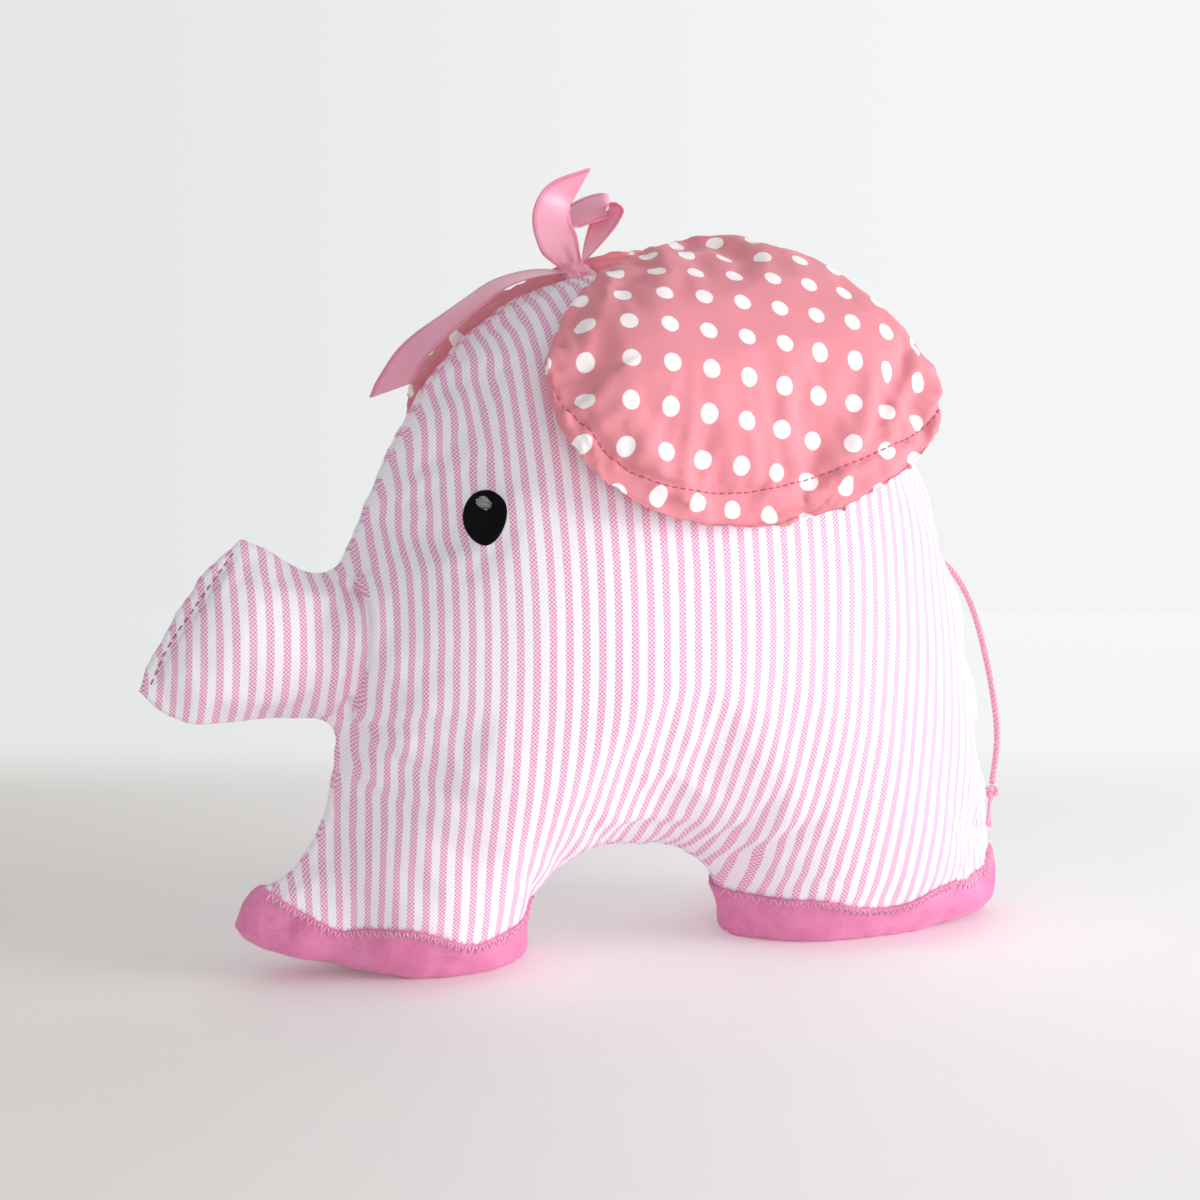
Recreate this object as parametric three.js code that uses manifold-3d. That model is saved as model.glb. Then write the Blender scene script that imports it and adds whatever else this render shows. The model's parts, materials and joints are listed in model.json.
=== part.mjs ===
// A hand-sewn stuffed elephant. Its head looks along -X, its left side faces -Y, and it stands on Z = 0.
// Two mirrored cotton side panels meet in one seam all round, in the plane Y = 0. Felt feet close the legs.
// Lengths are in millimetres. The origin is under the middle of the elephant, on the floor.
import * as THREE from "three";
import { mergeVertices } from "three/addons/utils/BufferGeometryUtils.js";
import Module from "manifold-3d";

const wasm = await Module();
wasm.setup();

// ---- Body ----
const bodyLength = 270; // trunk tip to the back of the hind foot
const crownHeight = 201; // floor to the highest point of the back seam
const crownSetback = 91; // trunk fold to the highest point
const rumpHeight = 130; // where the back turns down
const rumpInset = 26; // how far the rump stays in front of the hind foot
const bodyPlumpness = 0.52; // half thickness as a share of the free width round a point

// ---- Trunk ----
const trunkReach = 56; // fold to trunk tip
const trunkUnderHeight = 71; // floor to the corner below the fold
const trunkRootDepth = 42; // height of the trunk at the fold
const trunkTipHeight = 81; // floor to the lower corner of the trunk's end
const trunkEndRun = 29; // how far the slanted end seam runs back
const trunkEndRise = 44; // how far it rises
const foldDepth = 0.42; // share of the thickness that the fold takes away
const foldWidth = 9;

// ---- Legs ----
const archMiddle = 8; // along X, from the middle of the body
const archWidth = 64;
const archHeight = 30;
const frontFootLength = 84;
const frontFeltHeight = 16;
const hindFeltHeight = 11;
const toeHeight = 18;
const toeRise = 12; // the sole under the toe stands this far off the floor
const heelRise = 3; // the same under the back of the hind foot
const soleSink = 8; // how much of each foot is pressed flat

// ---- Cloth and clearances ----
const cottonThickness = 1.2;
const seamGap = 0.3; // between any two pieces that touch
const stuffingGap = 0.9; // between the cloth and what fills it
const seamHalfThickness = 1.8; // half the thickness of the turned edges at the body's seam
const clothSpacing = 11; // distance between points on a puffed surface
const rimSpacing = 8; // distance between points along a seam

// ---- Eyes ----
const eyeX = -47.2;
const eyeZ = 128.5;
const eyeWidth = 8.2;
const eyeHeight = 14.8;
const eyeThickness = 1.2;
const highlightRadius = 2.2;
const highlightRise = 3.8; // above the middle of the eye
const highlightThickness = 0.6;

// ---- Ears ----
const earLength = 121;
const earDrop = 102; // top edge to bottom edge, along the cloth
const earSetback = 13; // middle of the ear behind the highest point
const earBendRadius = 123; // the ear lies round the body's side
const earTopRise = 8.6; // top edge above the back seam
const earTopAngle = 34.7; // degrees from upright, at the top edge
const earStandoff = 10.3; // middle of the ear's padding from the body, where the ear lies closest
const rightEarForward = 12; // it is sewn on a little further forward than the left ear
const earHalfThickness = 6.6;
const earEdgeHalfThickness = 1.5;
const earClothThickness = 1.0;
const earRim = 9; // how far the back panel shows below the front panel's seam

// ---- Ribbon ----
const ribbonWidth = 12;
const ribbonThickness = 0.8;
const knotLead = 20; // knot ahead of the highest point
const knotRadius = 4;
const knotSink = 4.5; // the knot lies this deep between the ears
const gatherReach = 14; // from the knot to where the ribbon has nearly its full width
const leastGather = 0.3; // share of its width that is left in the knot
const swingGap = 1.6; // between the knot and the tail that lifts from it

// ---- Tail ----
const tailDiameter = 2;
const tailKnotRadius = 2.6;

const frontX = -bodyLength / 2;
const rearX = bodyLength / 2;
const foldX = frontX + trunkReach;
const crownX = foldX + crownSetback;
const earMiddleX = crownX + earSetback;
const knotX = crownX - knotLead;
const knotZ = crownHeight + knotRadius - knotSink;
const rumpX = rearX - rumpInset;
const frontHeelX = archMiddle - archWidth / 2;
const hindFrontX = archMiddle + archWidth / 2;
const toeX = frontHeelX - frontFootLength;
const foldTopZ = trunkUnderHeight + trunkRootDepth;

// ---- Colours ----
const stripedCotton = { color: 0xe9b9c4, roughness: 0.9, metalness: 0 };
const pinkFelt = { color: 0xd99aa8, roughness: 1, metalness: 0 };
const dottedCotton = { color: 0xe58f93, roughness: 0.9, metalness: 0 };
const stuffingFibre = { color: 0xf3f1ec, roughness: 1, metalness: 0 };
const blackFelt = { color: 0x1d1c20, roughness: 1, metalness: 0 };
const silverPaint = { color: 0xb9bcc2, roughness: 0.5, metalness: 0.2 };
const pinkSatin = { color: 0xe3a0b2, roughness: 0.35, metalness: 0 };
const pinkCord = { color: 0xd98ba1, roughness: 0.8, metalness: 0 };

// ---- Solids: turning three.js geometry into solids that can be joined and cut, and back ----
function solidOf(geometry) {
  const bare = geometry.clone();
  bare.deleteAttribute("normal");
  bare.deleteAttribute("uv");
  const merged = mergeVertices(bare, 1e-4);
  return new wasm.Manifold(new wasm.Mesh({
    numProp: 3,
    vertProperties: new Float32Array(merged.attributes.position.array),
    triVerts: new Uint32Array(merged.index.array),
  }));
}

function geometryOf(solid) {
  const mesh = solid.getMesh();
  const geometry = new THREE.BufferGeometry();
  geometry.setAttribute("position", new THREE.BufferAttribute(mesh.vertProperties, 3));
  geometry.setIndex(new THREE.BufferAttribute(mesh.triVerts, 1));
  geometry.computeVertexNormals();
  return geometry;
}

const farAway = 400; // beyond every piece

// A block that holds everything between two corners.
function block(low, high) {
  const size = high.clone().sub(low);
  const box = new THREE.BoxGeometry(size.x, size.y, size.z);
  return solidOf(box.translate(low.x + size.x / 2, low.y + size.y / 2, low.z + size.z / 2));
}

// A flat outline in X and Z, carried through the whole width of the elephant.
function prism(outline, halfWidth = farAway) {
  const body = new THREE.ExtrudeGeometry(outline, { depth: 2 * halfWidth, bevelEnabled: false, curveSegments: 8 });
  return solidOf(body.rotateX(Math.PI / 2).translate(0, halfWidth, 0));
}

// The same piece on the elephant's other side.
function mirrored(geometry) {
  const copy = geometry.clone();
  const place = copy.attributes.position;
  for (let i = 0; i < place.count; i++) place.setY(i, -place.getY(i));
  const corners = copy.index.array;
  for (let i = 0; i < corners.length; i += 3) {
    [corners[i], corners[i + 1]] = [corners[i + 1], corners[i]];
  }
  copy.computeVertexNormals();
  return copy;
}

// ---- Cushions: a puffed solid over a flat outline ----
function rimPoints(outline) {
  const points = [];
  for (const curve of outline.curves) {
    const steps = Math.max(1, Math.round(curve.getLength() / rimSpacing));
    points.push(...curve.getSpacedPoints(steps).slice(0, -1));
  }
  return points;
}

// Crossings of a line through a point with the rim: the nearest on each side.
function freeWidths(point, direction, rim) {
  let ahead = Infinity;
  let behind = Infinity;
  for (let i = 0; i < rim.length; i++) {
    const start = rim[i];
    const side = rim[(i + 1) % rim.length].clone().sub(start);
    const turn = direction.cross(side);
    if (Math.abs(turn) < 1e-9) continue;
    const offset = start.clone().sub(point);
    const along = offset.cross(side) / turn;
    const share = offset.cross(direction) / turn;
    if (share < 0 || share >= 1) continue;
    if (along > 0) ahead = Math.min(ahead, along);
    else behind = Math.min(behind, -along);
  }
  return [ahead, behind];
}

// How far a stuffed cushion can rise here: a mean of the free widths in all directions. It is 0 at the rim.
function freeSpan(point, rim, directions = 20) {
  let total = 0;
  for (let i = 0; i < directions; i++) {
    const angle = (Math.PI * (i + 0.5)) / directions;
    const [ahead, behind] = freeWidths(point, new THREE.Vector2(Math.cos(angle), Math.sin(angle)), rim);
    total += 1 / (ahead * behind);
  }
  return Math.sqrt(directions / total);
}

function isInside(point, rim) {
  let inside = false;
  for (let i = 0; i < rim.length; i++) {
    const a = rim[i];
    const b = rim[(i + 1) % rim.length];
    const between = (a.y > point.y) !== (b.y > point.y);
    if (between && point.x < a.x + ((point.y - a.y) * (b.x - a.x)) / (b.y - a.y)) inside = !inside;
  }
  return inside;
}

function distanceToRim(point, rim) {
  const line = new THREE.Line3();
  const nearest = new THREE.Vector3();
  const here = new THREE.Vector3(point.x, point.y, 0);
  return Math.min(...rim.map((a, i) => {
    const b = rim[(i + 1) % rim.length];
    line.start.set(a.x, a.y, 0);
    line.end.set(b.x, b.y, 0);
    return line.closestPointToPoint(here, true, nearest).distanceTo(here);
  }));
}

// Rows of points, each row half a step aside, that stay clear of the rim.
function innerPoints(rim) {
  const bounds = new THREE.Box2().setFromPoints(rim);
  const rowHeight = clothSpacing * Math.sin(Math.PI / 3);
  const points = [];
  for (let row = 0; bounds.min.y + row * rowHeight < bounds.max.y; row++) {
    const aside = (row % 2) * (clothSpacing / 2);
    for (let x = bounds.min.x + aside; x < bounds.max.x; x += clothSpacing) {
      const point = new THREE.Vector2(x, bounds.min.y + row * rowHeight);
      if (isInside(point, rim) && distanceToRim(point, rim) > 0.6 * rimSpacing) points.push(point);
    }
  }
  return points;
}

function circleHolds(points, [a, b, c], point) {
  const [p, q, r] = [points[a], points[b], points[c]].map((v) => v.clone().sub(point));
  const area = (q.x - p.x) * (r.y - p.y) - (q.y - p.y) * (r.x - p.x);
  const value =
    p.lengthSq() * (q.x * r.y - r.x * q.y) -
    q.lengthSq() * (p.x * r.y - r.x * p.y) +
    r.lengthSq() * (p.x * q.y - q.x * p.y);
  return value * Math.sign(area) > 1e-9;
}

// Triangles between points, chosen so that no point lies in another triangle's circle.
function triangulate(points) {
  const all = [...points, ...[[-1, -1], [1, -1], [0, 1]].map(([x, y]) => new THREE.Vector2(x, y).multiplyScalar(1e5))];
  const outer = [points.length, points.length + 1, points.length + 2];
  let triangles = [outer];
  for (let i = 0; i < points.length; i++) {
    const edges = new Map();
    const kept = [];
    for (const triangle of triangles) {
      if (!circleHolds(all, triangle, all[i])) {
        kept.push(triangle);
        continue;
      }
      for (let k = 0; k < 3; k++) {
        const [from, to] = [triangle[k], triangle[(k + 1) % 3]];
        if (!edges.delete(`${to},${from}`)) edges.set(`${from},${to}`, [from, to, i]);
      }
    }
    triangles = [...kept, ...edges.values()];
  }
  return triangles.filter((triangle) => triangle.every((corner) => corner < points.length));
}

// A closed cushion: the same surface to both sides of the outline's plane, height away from it.
function cushion(outline, heightAt) {
  const rim = rimPoints(outline);
  const points = [...rim, ...innerPoints(rim)];
  const middle = ([a, b, c]) => points[a].clone().add(points[b]).add(points[c]).divideScalar(3);
  const triangles = triangulate(points).filter((triangle) => isInside(middle(triangle), rim));
  const heights = points.map((point, i) => heightAt(point, rim, i < rim.length));
  const place = [];
  for (const side of [-1, 1]) points.forEach((point, i) => place.push(point.x, side * heights[i], point.y));
  const corners = [];
  const shift = points.length;
  for (const [a, b, c] of triangles) corners.push(a, b, c, shift + a, shift + c, shift + b);
  rim.forEach((point, i) => {
    const next = (i + 1) % rim.length;
    corners.push(next, i, shift + i, next, shift + i, shift + next);
  });
  const geometry = new THREE.BufferGeometry();
  geometry.setAttribute("position", new THREE.Float32BufferAttribute(place, 3));
  geometry.setIndex(corners);
  return wholeTriangles(mergeVertices(geometry, 1e-4));
}

// Walls of no height fold flat at a seam, so their triangles go.
function wholeTriangles(geometry) {
  const corners = geometry.index.array;
  const kept = [];
  for (let i = 0; i < corners.length; i += 3) {
    const [a, b, c] = corners.slice(i, i + 3);
    if (a !== b && b !== c && c !== a) kept.push(a, b, c);
  }
  geometry.setIndex(kept);
  geometry.computeVertexNormals();
  return geometry;
}

// The same surface, moved out (or in, below zero) along its normals.
function offset(geometry, distance) {
  const copy = geometry.clone();
  const place = copy.attributes.position;
  const normal = geometry.attributes.normal;
  for (let i = 0; i < place.count; i++) {
    place.setXYZ(
      i,
      place.getX(i) + distance * normal.getX(i),
      place.getY(i) + distance * normal.getY(i),
      place.getZ(i) + distance * normal.getZ(i),
    );
  }
  return copy;
}

// ---- Body outline, in X and Z ----
function bodyOutline() {
  const outline = new THREE.Shape();
  outline.moveTo(foldX, foldTopZ);
  traceTrunk(outline);
  traceFrontLeg(outline);
  traceArch(outline);
  traceHindLeg(outline);
  outline.bezierCurveTo(rumpX - 13, rumpHeight + 42, crownX + 50, crownHeight, crownX, crownHeight);
  outline.bezierCurveTo(crownX - 60, crownHeight, foldX + 17, foldTopZ + 37, foldX, foldTopZ);
  return outline;
}

function traceTrunk(outline) {
  const topCornerX = frontX + trunkEndRun;
  const topCornerZ = trunkTipHeight + trunkEndRise;
  outline.bezierCurveTo(foldX - 8, foldTopZ - 4, topCornerX + 12, topCornerZ - 9, topCornerX, topCornerZ);
  outline.quadraticCurveTo(
    frontX + trunkEndRun / 2 - 3,
    trunkTipHeight + trunkEndRise / 2 + 1,
    frontX,
    trunkTipHeight,
  );
  outline.quadraticCurveTo(frontX + 3, trunkUnderHeight + 3, frontX + 16, trunkUnderHeight);
  outline.quadraticCurveTo(foldX - 18, trunkUnderHeight + 2, foldX, trunkUnderHeight);
}

function traceFrontLeg(outline) {
  outline.bezierCurveTo(foldX, trunkUnderHeight - 22, foldX - 6, toeHeight + 16, toeX + 13, toeHeight + 9);
  outline.quadraticCurveTo(toeX, toeHeight + 6, toeX, toeHeight - 2);
  outline.quadraticCurveTo(toeX, toeRise - soleSink, toeX + 12, toeRise - soleSink - 2);
  outline.quadraticCurveTo(toeX + 36, -soleSink, toeX + 54, -soleSink);
  outline.lineTo(frontHeelX - 5, -soleSink);
  outline.quadraticCurveTo(frontHeelX, -soleSink, frontHeelX, 2);
}

function traceArch(outline) {
  const footTop = 6;
  outline.lineTo(frontHeelX, footTop);
  outline.bezierCurveTo(
    frontHeelX, archHeight - 8,
    frontHeelX + 12, archHeight,
    archMiddle, archHeight,
  );
  outline.bezierCurveTo(
    hindFrontX - 12, archHeight,
    hindFrontX, archHeight - 8,
    hindFrontX, footTop,
  );
}

function traceHindLeg(outline) {
  outline.lineTo(hindFrontX, 2);
  outline.quadraticCurveTo(hindFrontX, -soleSink, hindFrontX + 5, -soleSink);
  outline.lineTo(hindFrontX + 45, -soleSink);
  outline.lineTo(rearX - 8, heelRise - soleSink);
  outline.quadraticCurveTo(rearX, heelRise - soleSink, rearX, 12);
  outline.quadraticCurveTo(rearX - 9, 74, rumpX, rumpHeight);
}

function bodyHeightAt(point, rim, onRim) {
  if (onRim) return seamHalfThickness;
  const fromFold = (point.x - foldX) / foldWidth;
  const fold = 1 - foldDepth * Math.exp(-fromFold * fromFold);
  return seamHalfThickness + bodyPlumpness * fold * freeSpan(point, rim);
}

// ---- Body solids: cloth skin and what fills it ----
const bodySurface = cushion(bodyOutline(), bodyHeightAt);

// Everything above the soles, which rise to the toe and to the back. The cloth lies under the filling.
function aboveSoles(lift) {
  const above = new THREE.Shape();
  above.moveTo(-farAway, farAway);
  above.lineTo(-farAway, toeRise + lift);
  above.lineTo(toeX, toeRise + lift);
  above.quadraticCurveTo(toeX + 30, lift + 2, toeX + 52, lift);
  above.lineTo(hindFrontX + 45, lift);
  above.lineTo(rearX, heelRise + lift);
  above.lineTo(farAway, heelRise + lift);
  above.lineTo(farAway, farAway);
  above.closePath();
  return prism(above);
}

// The body's surface moved by a distance, with the soles cut flat.
function bodySolid(distance) {
  return solidOf(offset(bodySurface, distance)).intersect(aboveSoles(Math.max(-distance, 0)));
}

const skin = bodySolid(0).subtract(bodySolid(-cottonThickness));
const filling = bodySolid(-cottonThickness - stuffingGap);
const leftSide = block(
  new THREE.Vector3(-farAway, -farAway, -farAway),
  new THREE.Vector3(farAway, -seamGap / 2, farAway),
);
const aheadOfFold = block(
  new THREE.Vector3(-farAway, -farAway, trunkUnderHeight - 3),
  new THREE.Vector3(foldX - seamGap / 2, farAway, farAway),
);
const aheadOfFoldAndGap = block(
  new THREE.Vector3(-farAway, -farAway, trunkUnderHeight - 3),
  new THREE.Vector3(foldX + seamGap / 2, farAway, farAway),
);

// The felt closes each leg: its upper edge dips in the middle.
function frontFeltOutline(gap) {
  const felt = new THREE.Shape();
  felt.moveTo(toeX - 20, -2 * soleSink);
  felt.lineTo(frontHeelX + archWidth / 2, -2 * soleSink);
  felt.lineTo(frontHeelX + archWidth / 2, frontFeltHeight + gap);
  felt.lineTo(frontHeelX - 10, frontFeltHeight - 3 + gap);
  felt.quadraticCurveTo(toeX + 40, frontFeltHeight + gap, toeX + 12, toeHeight + 9 + gap);
  felt.lineTo(toeX - 20, toeHeight + 9 + gap);
  felt.closePath();
  return felt;
}

function hindFeltOutline(gap) {
  const felt = new THREE.Shape();
  felt.moveTo(hindFrontX - archWidth / 2, -2 * soleSink);
  felt.lineTo(rearX + 20, -2 * soleSink);
  felt.lineTo(rearX + 20, hindFeltHeight + 8 + gap);
  felt.lineTo(rearX - 6, hindFeltHeight + 6 + gap);
  felt.quadraticCurveTo(rearX - 40, hindFeltHeight + gap, hindFrontX + 22, hindFeltHeight + gap);
  felt.lineTo(hindFrontX - archWidth / 2, hindFeltHeight + 2 + gap);
  felt.closePath();
  return felt;
}

function sidePanel() {
  const feet = prism(frontFeltOutline(seamGap)).add(prism(hindFeltOutline(seamGap)));
  return geometryOf(skin.intersect(leftSide).subtract(feet).subtract(aheadOfFoldAndGap));
}

function trunkPanel() {
  return geometryOf(skin.intersect(leftSide).intersect(aheadOfFold));
}

function feltFoot(outline) {
  return geometryOf(skin.intersect(leftSide).intersect(prism(outline)));
}

// ---- Eyes: flat pieces that lie on the cheek ----
function ellipse(x, z, width, height) {
  const shape = new THREE.Shape();
  shape.absellipse(x, z, width / 2, height / 2, 0, 2 * Math.PI);
  return shape;
}

// The part of a layer over the body that a flat outline covers, on the left side.
function layerOnCheek(outline, below, thickness) {
  const layer = bodySolid(below + thickness).subtract(bodySolid(below));
  return geometryOf(layer.intersect(prism(outline)).intersect(leftSide));
}

function eye() {
  return layerOnCheek(ellipse(eyeX, eyeZ, eyeWidth, eyeHeight), seamGap, eyeThickness);
}

function eyeHighlight() {
  const spot = ellipse(eyeX, eyeZ + highlightRise, 2 * highlightRadius, 2 * highlightRadius);
  return layerOnCheek(spot, 2 * seamGap + eyeThickness, highlightThickness);
}

// ---- Ears: cut and stuffed flat, then bent round the body's side ----
function earOutline(trim) {
  const front = earMiddleX - earLength / 2;
  const back = earMiddleX + earLength / 2;
  const low = -earDrop + trim;
  const outline = new THREE.Shape();
  outline.moveTo(earMiddleX + 8, 0);
  outline.bezierCurveTo(earMiddleX - 17, 0, front + 2, -34, front, -62);
  outline.bezierCurveTo(front, low + 14, front + 26, low, earMiddleX - 10, low);
  outline.bezierCurveTo(earMiddleX + 14, low, back - 22, low + 8, back - 3, -74 + trim / 2);
  outline.bezierCurveTo(back + 5, -62, back - 20, -3, earMiddleX + 8, 0);
  return outline;
}

// The ear bends round a line along X, on the far side of the body. That line lies so far over that
// the ear clears the body wherever the two come closest.
const earTop = THREE.MathUtils.degToRad(earTopAngle);
const earBendZ = crownHeight + earTopRise - earBendRadius * Math.cos(earTop);
const bodyRim = rimPoints(bodyOutline());

// From the bend line to the body's side, measured inward from the flat ear's bent place.
function roomBesideBody(onEar) {
  const angle = earTop - onEar.y / earBendRadius;
  const onBody = new THREE.Vector2(onEar.x, earBendZ + earBendRadius * Math.cos(angle));
  const bodyThere = isInside(onBody, bodyRim) ? bodyHeightAt(onBody, bodyRim, false) : 0;
  return earBendRadius * Math.sin(angle) - bodyThere;
}

const earBendY = Math.min(...innerPoints(rimPoints(earOutline(0))).map(roomBesideBody)) - earStandoff;

// Bend a flat ear: its drop becomes an arc, and what stands out to -Y stands out from the body.
function bendEar(geometry) {
  const copy = geometry.clone();
  const place = copy.attributes.position;
  for (let i = 0; i < place.count; i++) {
    const angle = earTop - place.getZ(i) / earBendRadius;
    const radius = earBendRadius - place.getY(i);
    place.setY(i, earBendY - radius * Math.sin(angle));
    place.setZ(i, earBendZ + radius * Math.cos(angle));
  }
  copy.computeVertexNormals();
  return copy;
}

function earPad(distance) {
  const puff = (point, rim, onRim) => {
    if (onRim) return earEdgeHalfThickness;
    return Math.max(earEdgeHalfThickness, earHalfThickness * Math.min(1, Math.sqrt(freeSpan(point, rim) / 34)));
  };
  return solidOf(offset(cushion(earOutline(earRim), puff), distance));
}

function earBatting() {
  return bendEar(geometryOf(earPad(-earClothThickness - seamGap)));
}

function earOuterPanel() {
  const shell = earPad(0).subtract(earPad(-earClothThickness));
  return bendEar(geometryOf(shell.intersect(leftSide)));
}

// The back panel is cut larger, and its rim shows below the front one.
function earInnerPanel() {
  const sheet = solidOf(cushion(earOutline(0), () => earClothThickness));
  const inward = block(new THREE.Vector3(-farAway, seamGap / 2, -farAway), new THREE.Vector3(farAway, farAway, farAway));
  const hollow = earPad(-earClothThickness);
  return bendEar(geometryOf(sheet.add(earPad(0)).subtract(hollow).intersect(inward)));
}

// ---- Ribbon: flat strips of satin, gathered at the knot ----
const knotMiddle = new THREE.Vector3(knotX, 0, knotZ);

function strip(centreLine, across, steps) {
  const place = [];
  const corners = [];
  for (let i = 0; i <= steps; i++) {
    const centre = centreLine.getPointAt(i / steps);
    const tangent = centreLine.getTangentAt(i / steps);
    const side = across(i / steps).normalize();
    const width = ribbonWidth * Math.min(1, leastGather + centre.distanceTo(knotMiddle) / gatherReach);
    const up = new THREE.Vector3().crossVectors(tangent, side).normalize();
    for (const [a, b] of [[-1, -1], [1, -1], [1, 1], [-1, 1]]) {
      const corner = centre.clone();
      corner.addScaledVector(side, (a * width) / 2);
      corner.addScaledVector(up, (b * ribbonThickness) / 2);
      place.push(...corner);
    }
    if (i === steps) break;
    for (let k = 0; k < 4; k++) {
      const [here, next] = [4 * i + k, 4 * i + ((k + 1) % 4)];
      corners.push(here, next, next + 4, here, next + 4, here + 4);
    }
  }
  const last = 4 * steps;
  corners.push(0, 2, 1, 0, 3, 2, last, last + 1, last + 2, last, last + 2, last + 3);
  const geometry = new THREE.BufferGeometry();
  geometry.setAttribute("position", new THREE.Float32BufferAttribute(place, 3));
  geometry.setIndex(corners);
  geometry.computeVertexNormals();
  return geometry;
}

const smooth = (points) => new THREE.CatmullRomCurve3(points.map(([x, y, z]) => new THREE.Vector3(x, y, z)));

function ribbonKnot() {
  const knot = new THREE.SphereGeometry(1, 12, 8);
  knot.scale(knotRadius + 1, knotRadius + 1, knotRadius);
  return geometryOf(solidOf(knot.translate(knotX, 0, knotZ)).subtract(bodySolid(seamGap)));
}

function clearOfKnot(geometry, gap = seamGap) {
  const knot = new THREE.SphereGeometry(1, 12, 8);
  knot.scale(knotRadius + 1 + gap, knotRadius + 1 + gap, knotRadius + gap);
  return geometryOf(solidOf(geometry).subtract(solidOf(knot.translate(knotX, 0, knotZ))));
}

const fromKnot = (points) => smooth(points.map(([x, y, z]) => [knotX + x, y, knotZ + z]));

function turning(first, last) {
  return (share) => new THREE.Vector3(...first).lerp(new THREE.Vector3(...last), share * share);
}

function ribbonFrontTail() {
  const line = fromKnot([
    [-4, 0, 0.5], [-8, 0, 0.4], [-15, 0, -0.8], [-23.5, 0, -4], [-31.2, 0, -9.6], [-39.8, 0, -16.4],
    [-45.4, 0, -20.9], [-50.5, 0, -26.3], [-54.6, 0, -33], [-56, 0, -36],
  ]);
  return clearOfKnot(strip(line, turning([-0.1, 1, 0.25], [-0.55, 0.75, 0.5]), 18), swingGap);
}

// It shows its face to the side, and turns edge on at its tip.
function ribbonUpTail() {
  const line = fromKnot([
    [-0.5, -1.5, 1], [-3.8, -1.5, 6], [-6.3, -1, 10.7], [-7.3, 0, 15.8], [-6, 0, 20.6], [-2.8, 0, 23.8], [1.8, 0, 26.2],
  ]);
  return clearOfKnot(strip(line, turning([1, -0.36, 0], [0.45, 0.75, -0.45]), 14));
}

// It goes up at the back of the tail, folds over and comes down behind it.
function ribbonLoop() {
  const line = fromKnot([
    [2.4, 3, 1.4], [6, 3.5, 7.2], [9.2, 4.5, 13.1], [12.4, 5.5, 18.4], [11.4, 6.5, 20.8], [7.3, 7.5, 20.6],
    [3, 8.5, 18.5], [-0.6, 8.5, 14.5], [-1.2, 7, 8.5], [-0.4, 4.5, 2.5],
  ]);
  const across = (share) => new THREE.Vector3(0.3 - 0.5 * Math.sin(Math.PI * share), 0.9, 0.9 * Math.sin(Math.PI * share) ** 2);
  return clearOfKnot(strip(line, across, 24));
}

// ---- Tail: a soft cord out of the rump seam, with a knot near its end ----
// Each point: behind the rump's seam, aside, and up.
const tailPlaces = [
  [2.8, 0, 113.4], [4.8, 0, 112.2], [7, 0, 109.8], [8.9, 0, 106.4], [10.4, 0, 102.2], [11.4, 0, 97.6],
  [12, 0, 92.6], [12.3, 0, 87], [12.5, 0, 81], [12.6, 0, 75], [12.4, 0, 69], [12, -0.3, 63],
  [11, -1, 57.5], [9.2, -1.8, 52], [6.7, -2.8, 46.5], [3.9, -4, 41],
];
const rumpSeamAt = (z) => freeWidths(new THREE.Vector2(crownX, z), new THREE.Vector2(1, 0), bodyRim)[0] + crownX;
const tailRoute = tailPlaces.map(([behind, y, z]) => [rumpSeamAt(z) + behind, y, z]);

function cord(route) {
  const section = new THREE.Shape();
  const sides = 8;
  for (let i = 0; i < sides; i++) {
    const angle = (2 * Math.PI * i) / sides;
    const x = (tailDiameter / 2) * Math.cos(angle);
    const y = (tailDiameter / 2) * Math.sin(angle);
    if (i === 0) section.moveTo(x, y);
    else section.lineTo(x, y);
  }
  section.closePath();
  const path = smooth(route);
  const steps = Math.round(path.getLength() / (2.5 * tailDiameter));
  return new THREE.ExtrudeGeometry(section, { steps, bevelEnabled: false, extrudePath: path });
}

function tailKnot() {
  const knot = new THREE.SphereGeometry(tailKnotRadius, 10, 8);
  const [x, y, z] = tailRoute[tailRoute.length - 1];
  knot.translate(x - 1, y - 0.9, z - tailKnotRadius - seamGap);
  const tip = cord([
    [x - 1.6, y - 1.6, z - tailKnotRadius - seamGap],
    [x - 4.4, y - 5, z - 8],
    [x - 7.6, y - 9.4, z - 12],
  ]);
  return geometryOf(solidOf(knot).add(solidOf(tip)));
}

// ---- The elephant ----
const elephant = new THREE.Group();

function add(name, geometry, look) {
  const mesh = new THREE.Mesh(geometry, new THREE.MeshStandardMaterial(look));
  mesh.name = name;
  elephant.add(mesh);
}

// A piece of the left side, and its mirror image on the right.
function addBothSides(name, geometry, look) {
  add(`left_${name}`, geometry, look);
  add(`right_${name}`, mirrored(geometry), look);
}

function addEars(name, geometry, look) {
  add(`left_${name}`, geometry, look);
  add(`right_${name}`, mirrored(geometry).translate(-rightEarForward, 0, 0), look);
}

addBothSides("side_panel", sidePanel(), stripedCotton);
addBothSides("trunk_panel", trunkPanel(), stripedCotton);
addBothSides("front_foot", feltFoot(frontFeltOutline(0)), pinkFelt);
addBothSides("hind_foot", feltFoot(hindFeltOutline(0)), pinkFelt);
add("body_stuffing", geometryOf(filling.subtract(aheadOfFoldAndGap)), stuffingFibre);
add("trunk_stuffing", geometryOf(filling.intersect(aheadOfFold)), stuffingFibre);
addBothSides("eye", eye(), blackFelt);
addBothSides("eye_highlight", eyeHighlight(), silverPaint);
addEars("ear_outer_panel", earOuterPanel(), dottedCotton);
addEars("ear_inner_panel", earInnerPanel(), dottedCotton);
addEars("ear_batting", earBatting(), stuffingFibre);
add("ribbon_knot", ribbonKnot(), pinkSatin);
add("ribbon_front_tail", ribbonFrontTail(), pinkSatin);
add("ribbon_up_tail", ribbonUpTail(), pinkSatin);
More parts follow.
